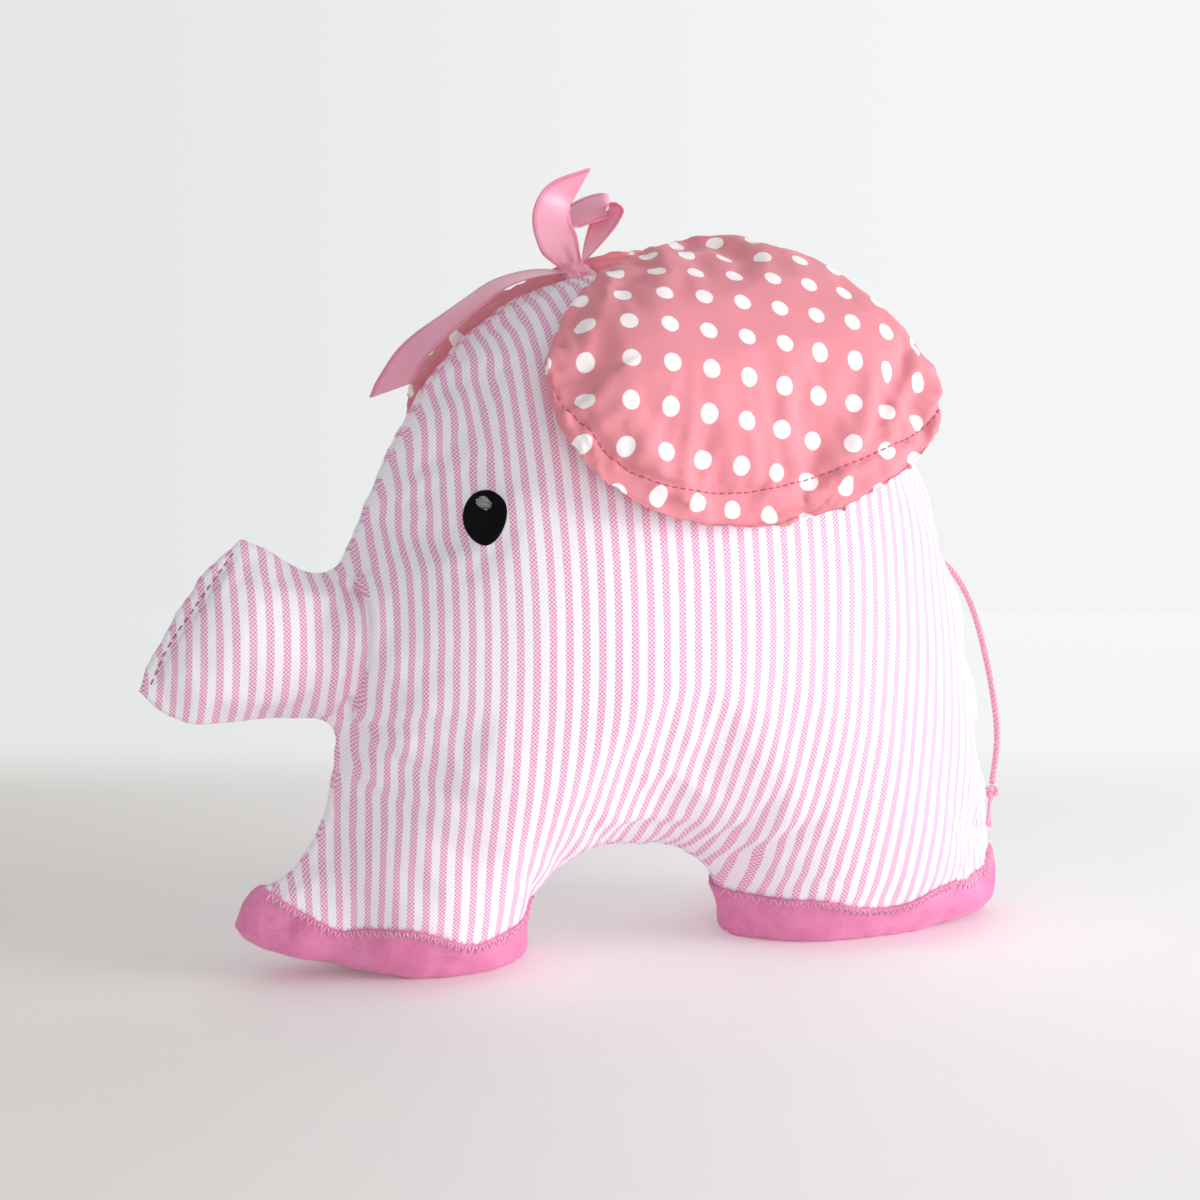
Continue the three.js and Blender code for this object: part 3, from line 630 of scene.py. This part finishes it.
def on_body(x, z, side, shape=None, lift=0.0):
    start = Vector((x, side * 0.2, z))
    hit, way, _, _ = (shape or body_shape).ray_cast(start, Vector((0, -side, 0)))
    return (hit + way * lift) if hit else None


# %% [markdown]
# Each foot is a patch of felt on either side, stitched over the cotton. A patch is a slightly
# bigger copy of the body's own skin, cut off along a wavy line, so it lies close everywhere.

# %% Felt feet
FRONT_LINE = [
    (-118, 30), (-108, 27), (-101, 25.5), (-94, 21.5), (-88, 18), (-81, 14.5), (-74, 15.2), (-64, 15.8),
    (-56, 13.5), (-47, 10.4), (-40, 11.2), (-32, 13.5), (-24, 16), (-10, 17),
]
HIND_LINE = [
    (26, 15), (40, 14.5), (48, 15), (60, 14.5), (68, 12.5), (78, 11.2), (87, 11.8), (96, 15),
    (104, 16.5), (114, 15.6), (124, 16.6), (130, 19), (136, 22), (146, 25),
]
FELT_THICK = 0.9 * MM


def felt_foot(name, line, nodes):
    body_faces = [f.vertices[:] for f in body.data.polygons]
    piece = new_piece(name, [v.co for v in body.data.vertices], body_faces, pink_felt)
    outer = places(piece) + normals(piece) * FELT_THICK
    outer[:, 2] = np.maximum(outer[:, 2], 0)
    move_to(piece, outer)
    upper = [(p.x, p.z) for p in flat_line(line, 1.5 * MM)]
    outline = upper + [(upper[-1][0], -0.02), (upper[0][0], -0.02)]
    count = len(outline)
    points = [(x, y, z) for y in (-0.08, 0.08) for x, z in outline]
    faces = [tuple(range(count)), tuple(range(2 * count - 1, count - 1, -1))]
    faces += [((i + 1) % count, i, i + count, (i + 1) % count + count) for i in range(count)]
    cutter = new_piece(name + "_cutter", points, faces, pink_felt)
    edit_mesh(cutter, mend=True)
    apply_modifier(piece, "BOOLEAN", operation="INTERSECT", object=cutter, solver="EXACT")
    bpy.data.objects.remove(cutter)
    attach(piece, "body")
    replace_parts(piece, *nodes)
    print(name, len(piece.data.polygons), "faces")
    return piece, upper


front_foot, front_edge = felt_foot("front_felt_foot", FRONT_LINE, ["left_front_foot", "right_front_foot"])
hind_foot, hind_edge = felt_foot("hind_felt_foot", HIND_LINE, ["left_hind_foot", "right_hind_foot"])

# %% [markdown]
# A zigzag seam holds the felt: one thread that jumps from the cotton to the felt and back. It is
# a thin tube through points on the surface, raised a little between them.

# %% Zigzag stitches
def zigzag(name, edge, foot):
    shape = BVHTree.FromObject(foot, bpy.context.evaluated_depsgraph_get())
    lines = []
    for side in (-1, 1):
        line, run, up = [], 0.0, True
        rail = smooth_line([Vector((x, 0, z)) for x, z in edge], 0.2 * MM)
        for i in range(1, len(rail)):
            run += (rail[i] - rail[i - 1]).length
            if run < 0.85 * MM:
                continue
            run = 0.0
            along = (rail[i] - rail[i - 1]).normalized()
            off = Vector((-along.z, 0, along.x)) * (0.5 * MM if up else -2.3 * MM)
            spot = rail[i] + off
            hit = on_body(spot.x, spot.z, side, None if up else shape, 0.15 * MM)
            up = not up
            if hit is None or abs(hit.y) < 0.8 * MM or hit.z > spot.z + 3 * MM:
                if len(line) > 2:
                    lines.append(line)
                line = []
                continue
            if line:
                middle = (line[-1] + hit) / 2
                spot_above = (middle.x, middle.z, side)
                top = on_body(*spot_above, shape, 0.35 * MM) or on_body(*spot_above, None, 0.35 * MM)
                line.append(top if top and abs(top.y - middle.y) < 2 * MM else middle)
            line.append(hit)
        if len(line) > 2:
            lines.append(line)
    piece = tubes(name, lines, 0.2 * MM, pale_thread, 5)
    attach(piece, "body")
    print(name, sum(len(l) for l in lines), "points")
    return piece


zigzag("front_foot_zigzag", front_edge, front_foot)
zigzag("hind_foot_zigzag", hind_edge, hind_foot)

# %% [markdown]
# An ear is a pad: two panels of dotted cotton, sewn and filled, then bent round the head. The
# bend is known from the measured model, so any point can be put back on the flat cloth, where
# the dots and the seam are laid out.

# %% Ears
EAR_NODES = ["left_ear_outer_panel", "left_ear_inner_panel", "left_ear_batting"]
BEND, BEND_TOP = 123 * MM, math.radians(34.7)
hinge = hinges["left_ear_lift"]
bend_y = hinge.y + BEND * math.sin(BEND_TOP)
bend_z = hinge.z - BEND * math.cos(BEND_TOP)


def flat_ear(where):
    angle = np.arctan2(bend_y - where[:, 1], where[:, 2] - bend_z)
    radius = np.hypot(bend_y - where[:, 1], where[:, 2] - bend_z)
    return where[:, 0], -(angle - BEND_TOP) * BEND, radius - BEND


ear = merged_copy("left_ear", EAR_NODES, dotted_cotton)
rounded(ear, 2.2 * MM, 1.4 * MM)
move_to(ear, places(ear) - normals(ear) * 0.9 * MM)
at = places(ear)
across, drop, rise = flat_ear(at)
rim = np.abs(rise) < 1.7 * MM
edge_only = rim & (normals(ear)[:, 1] ** 2 < 0.8)
stuff(ear, edge_only, pressure=5.0, spare=0.06, most=5 * MM)
apply_modifier(ear, "SUBSURF", levels=1, render_levels=1)
print("ear points", len(ear.data.vertices), "pinned", int(edge_only.sum()))

# %% [markdown]
# The ear's seam isn't at its edge: the back panel is bigger and shows as a border below it. The
# seam is pressed in on the flat cloth, with gathers on both sides, and the sewn edge puckers.

# %% Ear seam and gathers
at, out = places(ear), normals(ear)
across, drop, rise = flat_ear(at)
EAR_SEAM = [
    (-34, -60), (-32, -68), (-26, -76), (-20, -83), (-12, -88), (-3, -91), (12, -92),
    (24, -91), (37, -88), (50, -84), (63, -79), (72, -75), (80, -69), (85, -62),
]
SEAM_SPACING = 0.8 * MM
seam_line = pairs(flat_line(EAR_SEAM, SEAM_SPACING))
flat_at = np.column_stack([across, drop])
gap = np.linalg.norm(flat_at[:, None] - seam_line[None], axis=2)
to_seam, which = gap.min(1), gap.argmin(1)
front = np.clip(rise / (1.5 * MM), 0, 1)
ripple = np.array([noise.noise(Vector((i * SEAM_SPACING / (5.2 * MM), 0, 7))) for i in range(len(seam_line))])[which]
above = drop > seam_line[which][:, 1]
reach = np.where(above, 15 * MM, 7 * MM)
SEAM_DEPTH, SEAM_GATHER, EAR_LUMP, EDGE_PUCKER, EDGE_DEPTH = 1.5 * MM, 1.9 * MM, 0.5 * MM, 1.5 * MM, 0.7 * MM
pressed = np.exp(-(to_seam / (1.0 * MM)) ** 2)
gathered = ripple * np.exp(-to_seam / reach) * np.clip(to_seam / (1.5 * MM), 0.3, 1)
dent = front * (SEAM_GATHER * gathered - SEAM_DEPTH * pressed)
dent += EAR_LUMP * lumps(at, 14 * MM, 5.0)
edge_tree = tree_of(at[np.abs(rise) < 0.7 * MM])
near_edge = [edge_tree.find(Vector(p)) for p in at]
edge_gap = np.array([n[2] for n in near_edge])
pucker = lumps([n[0] for n in near_edge], 3.6 * MM, 2.0)
dent += EDGE_PUCKER * pucker * np.exp(-edge_gap / (6 * MM)) * np.clip(edge_gap / (2 * MM), 0, 1)
dent -= EDGE_DEPTH * np.exp(-(rise / (0.8 * MM)) ** 2) * (edge_gap < 1.5 * MM)
move_to(ear, at + out * dent[:, None])
set_cloth(ear, across, drop)
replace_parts(ear, *EAR_NODES)


def mirrored_ear(piece, name):
    twin = piece.copy()
    twin.data = piece.data.copy()
    twin.name = twin.data.name = name
    bpy.context.scene.collection.objects.link(twin)
    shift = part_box("right_ear_outer_panel")[0].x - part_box("left_ear_outer_panel")[0].x
    twin.data.transform(Matrix.Translation((shift, 0, 0)) @ Matrix.Diagonal((1, -1, 1, 1)))
    twin.data.flip_normals()
    return twin


right_ear = mirrored_ear(ear, "right_ear")
for key in [k for k in right_ear.keys() if k.startswith("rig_")]:
    del right_ear[key]
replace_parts(right_ear, *[n.replace("left", "right") for n in EAR_NODES])

# %% [markdown]
# A row of small running stitches follows the ear's seam. The right ear is the left one mirrored,
# so its stitches are too.

# %% Ear stitches
ear_shape = BVHTree.FromObject(ear, bpy.context.evaluated_depsgraph_get())


def on_ear(x, v, lift):
    angle = BEND_TOP - v / BEND
    way = Vector((0, -math.sin(angle), math.cos(angle)))
    start = Vector((x, bend_y, bend_z)) + way * (BEND + 0.04)
    hit = ear_shape.ray_cast(start, -way)[0]
    return hit + way * lift if hit else None


stitch_lines = []
for i in range(4, len(seam_line) - 8, 3):
    first, last = seam_line[i], seam_line[i + 2]
    spots = [on_ear(*(first + (last - first) * t), lift * MM)
             for t, lift in ((0, -0.1), (0.3, 0.22), (0.7, 0.22), (1, -0.1))]
    if all(spots):
        stitch_lines.append(spots)
ear_stitches = tubes("left_ear_stitches", stitch_lines, 0.17 * MM, coral_thread, 5)
twin_stitches = mirrored_ear(ear_stitches, "right_ear_stitches")
for piece, body_name in ((ear, "left_ear"), (right_ear, "right_ear")):
    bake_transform(piece)
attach(ear_stitches, "left_ear"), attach(twin_stitches, "right_ear")
print("ear stitches", len(stitch_lines))

# %% [markdown]
# The eyes are egg-shaped pieces of black felt, glued to the cloth, narrower at the bottom. A
# scribble of silver thread makes the glint.

# %% Eyes
EYE_LEAN = 0.18  # the eye leans back by this much of its height, so that it looks upright on the cheek
FELT_CROWN = 0.9 * MM


def eye(name, side):
    low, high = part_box(name.replace("felt_", ""))
    middle, half = (low + high) / 2, (high - low) / 2
    rings, around = 10, 56
    top, bottom = [], []
    for r in range(rings + 1):
        for k in range(around):
            angle = 2 * math.pi * k / around
            reach = r / rings
            tall = math.sin(angle)
            wide = math.cos(angle) * (1 + 0.05 * tall)
            x = middle.x + reach * (half.x * wide + EYE_LEAN * half.z * tall)
            z = middle.z + reach * half.z * tall
            crown = FELT_CROWN * math.sqrt(max(0.0, 1 - reach ** 8)) + 0.2 * MM
            top.append(on_body(x, z, side, None, crown))
            bottom.append(on_body(x, z, side, None, -0.3 * MM))
    faces = []
    for r in range(rings):
        for k in range(around):
            a, b = r * around + k, r * around + (k + 1) % around
            faces.append((a, a + around, b + around, b))
            shift = len(top)
            faces.append((shift + a, shift + b, shift + b + around, shift + a + around))
    rim = rings * around
    for k in range(around):
        a, b = rim + k, rim + (k + 1) % around
        faces.append((a, len(top) + a, len(top) + b, b))
    piece = new_piece(name, top + bottom, faces, black_felt)
    edit_mesh(piece, weld=0.03 * MM, mend=True)
    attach(piece, "body")
    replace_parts(piece, name.replace("felt_", ""))
    return piece


GLINT_WIDE, GLINT_TALL = 0.62, 0.85  # the scribble against the measured glint


def glint(name, side, node, felt_eye):
    shape = BVHTree.FromObject(felt_eye, bpy.context.evaluated_depsgraph_get())
    low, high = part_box(node)
    middle, size = (low + high) / 2, (high - low).x / 2
    lines = []
    for turned in (0.15, 1.35):
        line = []
        for i in range(27):
            t = i / 13 - 1
            tall = math.sqrt(max(0.08, 1 - t * t)) * (1 if i % 2 else -1) * (0.9 + 0.12 * math.sin(i * 2.3))
            x = t * 0.95 * math.cos(turned) - tall * math.sin(turned)
            z = t * 0.95 * math.sin(turned) + tall * math.cos(turned)
            spot = (middle.x + GLINT_WIDE * x * size, middle.z + GLINT_TALL * z * size)
            line.append(on_body(*spot, side, shape, (0.15 + 0.1 * turned) * MM))
        lines.append([p for p in line if p])
    piece = tubes(name, lines, 0.2 * MM, silver_thread, 5)
    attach(piece, "body")
    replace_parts(piece, node)
    return piece


for side_name, side in (("left", -1), ("right", 1)):
    felt_eye = eye(f"{side_name}_felt_eye", side)
    glint(f"{side_name}_eye_glint", side, f"{side_name}_eye_highlight", felt_eye)

# %% [markdown]
# The bow is one satin ribbon, 12 mm wide, tied in a knot on the crown: a tail that flies forward,
# a tail that stands up and a loop. Each is a flat strip led along a line, twisted as it goes.

# %% Ribbon
knot_low, knot_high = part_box("ribbon_knot")
bow = Vector(((knot_low.x + knot_high.x) / 2, 0, knot_high.z - 4 * MM))
WIDE = 12 * MM
RIBBON_THICK = 0.28 * MM
ACROSS = 9  # points across the ribbon


def ribbon(name, keys, across, body_name, node, slant=0.0):
    line = smooth_line([bow + Vector(k) * MM for k in keys], 0.8 * MM)
    count = len(line)
    points, cross, along = [], [], []
    run = 0.0
    for i, centre in enumerate(line):
        ahead = (line[min(i + 1, count - 1)] - line[max(i - 1, 0)]).normalized()
        share = i / (count - 1)
        side = Vector(across(share))
        side = (side - ahead * side.dot(ahead)).normalized()
        up = ahead.cross(side)
        run += (centre - line[i - 1]).length if i else 0
        narrow = min(1.0, 0.3 + (centre - bow).length / (14 * MM))
        for k in range(ACROSS):
            s = 2 * k / (ACROSS - 1) - 1
            cup = 0.5 * MM * (1 - s * s) * math.sin(3 * share * math.pi)
            cup += 1.4 * MM * (1 - narrow) * math.cos(2.5 * s * math.pi)
            tip = slant * s * max(0.0, (share - 0.86) / 0.14) * MM
            points.append(centre + side * (s * WIDE / 2 * narrow) + up * cup + ahead * tip)
            cross.append(s * WIDE / 2)
            along.append(run)
    corners = [i * ACROSS + k for i in range(count - 1) for k in range(ACROSS - 1)]
    faces = [(c, c + 1, c + ACROSS + 1, c + ACROSS) for c in corners]
    piece = new_piece(name, points, faces, pink_satin)
    set_cloth(piece, np.array(cross), np.array(along))
    apply_modifier(piece, "SUBSURF", levels=1, render_levels=1)
    apply_modifier(piece, "SOLIDIFY", thickness=RIBBON_THICK, offset=0)
    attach(piece, body_name)
    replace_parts(piece, node)
    print(name, "length", round(run / MM, 1), "mm")


bow_knot = merged_copy("bow_knot", ["ribbon_knot"], pink_satin)
apply_modifier(bow_knot, "REMESH", mode="VOXEL", voxel_size=0.6 * MM, adaptivity=0)
at, out = places(bow_knot), normals(bow_knot)
fold_angle = np.arctan2(at[:, 2] - bow.z, at[:, 1])
pleats = np.sin((at[:, 0] - bow.x) / (0.55 * MM) + 1.6 * np.sin(fold_angle * 1.5) + lumps(at, 3 * MM))
move_to(bow_knot, at + out * (0.3 * MM * pleats + 0.5 * MM * lumps(at, 4 * MM, 9.0))[:, None])
set_cloth(bow_knot, at[:, 0] - bow.x, fold_angle * 5 * MM)
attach(bow_knot, "body")
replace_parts(bow_knot, "ribbon_knot")


def turning(first, last):
    return lambda share: Vector(first).lerp(Vector(last), share * share)


def looping(share):
    lean = math.sin(math.pi * share)
    return Vector((0.3 - 0.5 * lean, 0.9, 0.9 * lean ** 2))


FORWARD = [
    (-4, 0, 0.5), (-8, 0, 0.4), (-15, 0, -0.8), (-23.5, 0, -4), (-31.2, 0, -9.6),
    (-39.8, 0, -16.4), (-45.4, 0, -20.9), (-50.5, 0, -26.3), (-54.6, 0, -33), (-56, 0, -36),
]
UPRIGHT = [
    (-0.5, -1.5, 1), (-3.8, -1.5, 6), (-6.3, -1, 10.7), (-7.3, 0, 15.8), (-6, 0, 20.6), (-2.8, 0, 23.8), (1.8, 0, 26.2),
]
LOOP = [
    (2.4, 3, 1.4), (6, 3.5, 7.2), (9.2, 4.5, 13.1), (12.9, 5.2, 20.6), (12.3, 6.0, 22.2),
    (7.3, 7.5, 20.8), (3, 8.5, 18.5), (-0.6, 8.5, 14.5), (-1.2, 7, 8.5), (-0.4, 4.5, 2.5),
]
ribbon("bow_front_tail", FORWARD, turning((-0.1, 1, 0.25), (-0.55, 0.75, 0.5)),
       "front_ribbon", "ribbon_front_tail", slant=4.0)
ribbon("bow_up_tail", UPRIGHT, turning((1, -0.36, 0), (0.45, 0.75, -0.45)),
       "body", "ribbon_up_tail", slant=-4.0)
ribbon("bow_loop", LOOP, looping, "body", "ribbon_loop")

# %% [markdown]
# The trunk's end was left open for filling, and closed by hand with short stitches across the
# slit. A row of finer stitches shows on the head seam below the bow.

# %% Hand stitches
def running(line, pitch, length):
    """One short raised thread, length mm long, every pitch mm along a line on the toy's left side."""
    made, run = [], 0.0
    for a, b in zip(line, line[1:]):
        run += (b - a).length
        if run < pitch * MM:
            continue
        run = 0.0
        along = (b - a).normalized() * length * MM
        spots = [on_body(b.x + along.x * t, b.z + along.z * t, -1, None, lift * MM)
                 for t, lift in ((0, -0.1), (0.3, 0.2), (0.7, 0.2), (1, -0.1))]
        if all(spots):
            made.append(spots)
    return made


END_LINE = ((-107, 120.5), (-113, 113), (-120, 103), (-126.5, 93), (-130.5, 84))
CROWN_LINE = ((-34, 185), (-26, 190), (-18, 194), (-10, 196))
dashes = running(flat_line(END_LINE, 0.2 * MM), 2.6, 1.5)
trunk_stitches = tubes("trunk_end_stitches", dashes, 0.22 * MM, mauve_thread, 5)
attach(trunk_stitches, "trunk")
crown_lines = running(flat_line(CROWN_LINE, 0.2 * MM), 1.8, 1.1)
crown_stitches = tubes("crown_stitches", crown_lines, 0.2 * MM, white_thread, 5)
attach(crown_stitches, "body")
print("trunk stitches", len(dashes))

# %% [markdown]
# The toy stands on a pale table in front of a pale wall. A big soft light on the right stands
# for a window, a small white card throws some of it back on the toy's front, and the room's light
# fills in from everywhere. The table glows a little, a painted light that lifts its shade, and a
# hand's breadth behind the toy it turns into the wall's glow, as a table's edge does when it is
# out of focus. The wall glows in place of light falling on it, and the wall, the table and their
# glows are darker on the left: painted shade.

# %% Table, wall and light
# The wall glows in place of light falling on it. Its glow is darker on the left: painted shade.
WALL_GLOW_SHADED_LEFT, WALL_SPREAD = (light("e3e5e4"), light("f2f3f4")), (0.3, 1.5)  # darker on the left
# The table's glow, near the toy and at its far edge, dimmer on the left. It is painted light that lifts the table's
# shade.
FAR_TABLE_GLOW, NEAR_GLOW = (light("dfe1e0"), light("eff0f1")), (light("4c4a48"), light("686a6c"))
TABLE_EDGE = (0.22, 0.42)  # how far behind the toy's middle the table ends, softly
wall, tree, shader = material("painted_wall", {
    "Roughness": 1.0, "Base Color": light("0c0c0c"), "Emission Strength": 1.0})
axes = put(tree, "SeparateXYZ", None, {0: object_place(tree)})
wall_glow_painted_shade = blend_colours(tree, soft_step(tree, axes.outputs[0], *WALL_SPREAD), *WALL_GLOW_SHADED_LEFT)
tree.links.new(wall_glow_painted_shade, shader.inputs["Emission Color"])
table_top, tree, shader = material("painted_table", {
    "Roughness": 0.7, "Specular IOR Level": 0.12, "Emission Strength": 1.0})
spot = object_place(tree)
axes = put(tree, "SeparateXYZ", None, {0: spot})
brush_marks = put(tree, "Mapping", {"Scale": (0.15, 1, 1)}, {"Vector": spot})
brushed = put(tree, "TexNoise", {"Scale": 60.0, "Detail": 4.0}, {"Vector": brush_marks})


def along(tree, x_share, y_share):
    return calc(tree, "MULTIPLY_ADD", axes.outputs[0], x_share, calc(tree, "MULTIPLY", axes.outputs[1], y_share))


ahead = along(tree, -math.sin(turn), math.cos(turn))
aside = along(tree, math.cos(turn), math.sin(turn))
far = soft_step(tree, ahead, *TABLE_EDGE)
depth = calc(tree, "MAXIMUM", calc(tree, "ADD", ahead, CAMERA_AWAY), CAMERA_AWAY / 2)
spread_out = soft_step(tree, calc(tree, "DIVIDE", aside, depth), -0.36, 0.24)
# The table's pale colour, darker and warmer on the left: painted shade.
table_tone_painted_shade = blend_colours(tree, soft_step(tree, axes.outputs[0], -0.5, 0.4), light("e6e2dc"), light("f1f0ef"))
finish_colour(tree, shader, blend_colours(tree, far, table_tone_painted_shade, light("0c0c0c")), brushed.outputs[0], 0.15 * MM, 0.3)
near_glow = blend_colours(tree, spread_out, *NEAR_GLOW)
glow = blend_colours(tree, far, near_glow, blend_colours(tree, spread_out, *FAR_TABLE_GLOW))
tree.links.new(glow, shader.inputs["Emission Color"])


def plane(name, size, where, tilt, finish):
    bpy.ops.object.select_all(action="DESELECT")
    bpy.ops.mesh.primitive_plane_add(size=size, location=where, rotation=tilt)
    made = bpy.context.active_object
    made.name = name
    made.data.materials.append(finish)


plane("table_top", 6.0, (0, 0, 0), (0, 0, 0), table_top)
plane("wall", 8.0, (-0.5, 1.7, 0), (math.radians(90), 0, turn), wall)


def area_light(name, size, power, where, colour):
    lamp = bpy.data.lights.new(name, "AREA")
    lamp.shape, lamp.size, lamp.energy, lamp.color = "SQUARE", size, power, colour
    made = bpy.data.objects.new(name, lamp)
    made.location = where
    made.rotation_euler = (Vector((0, 0, 0.1)) - Vector(where)).to_track_quat("-Z", "Y").to_euler()
    bpy.context.scene.collection.objects.link(made)


area_light("window", 0.8, 19, (1.12, -0.78, 0.24), (1.0, 0.985, 0.985))
area_light("white_card", 0.6, 4.5, (-0.25, -1.1, 0.06), (1.0, 0.99, 1.0))
room = bpy.data.worlds.new("room")
bpy.context.scene.world = room
room.use_nodes = True
room.node_tree.nodes["Background"].inputs["Color"].default_value = light("f2f3f5")
room.node_tree.nodes["Background"].inputs["Strength"].default_value = 0.5
bpy.context.scene.view_settings.view_transform = "Standard"
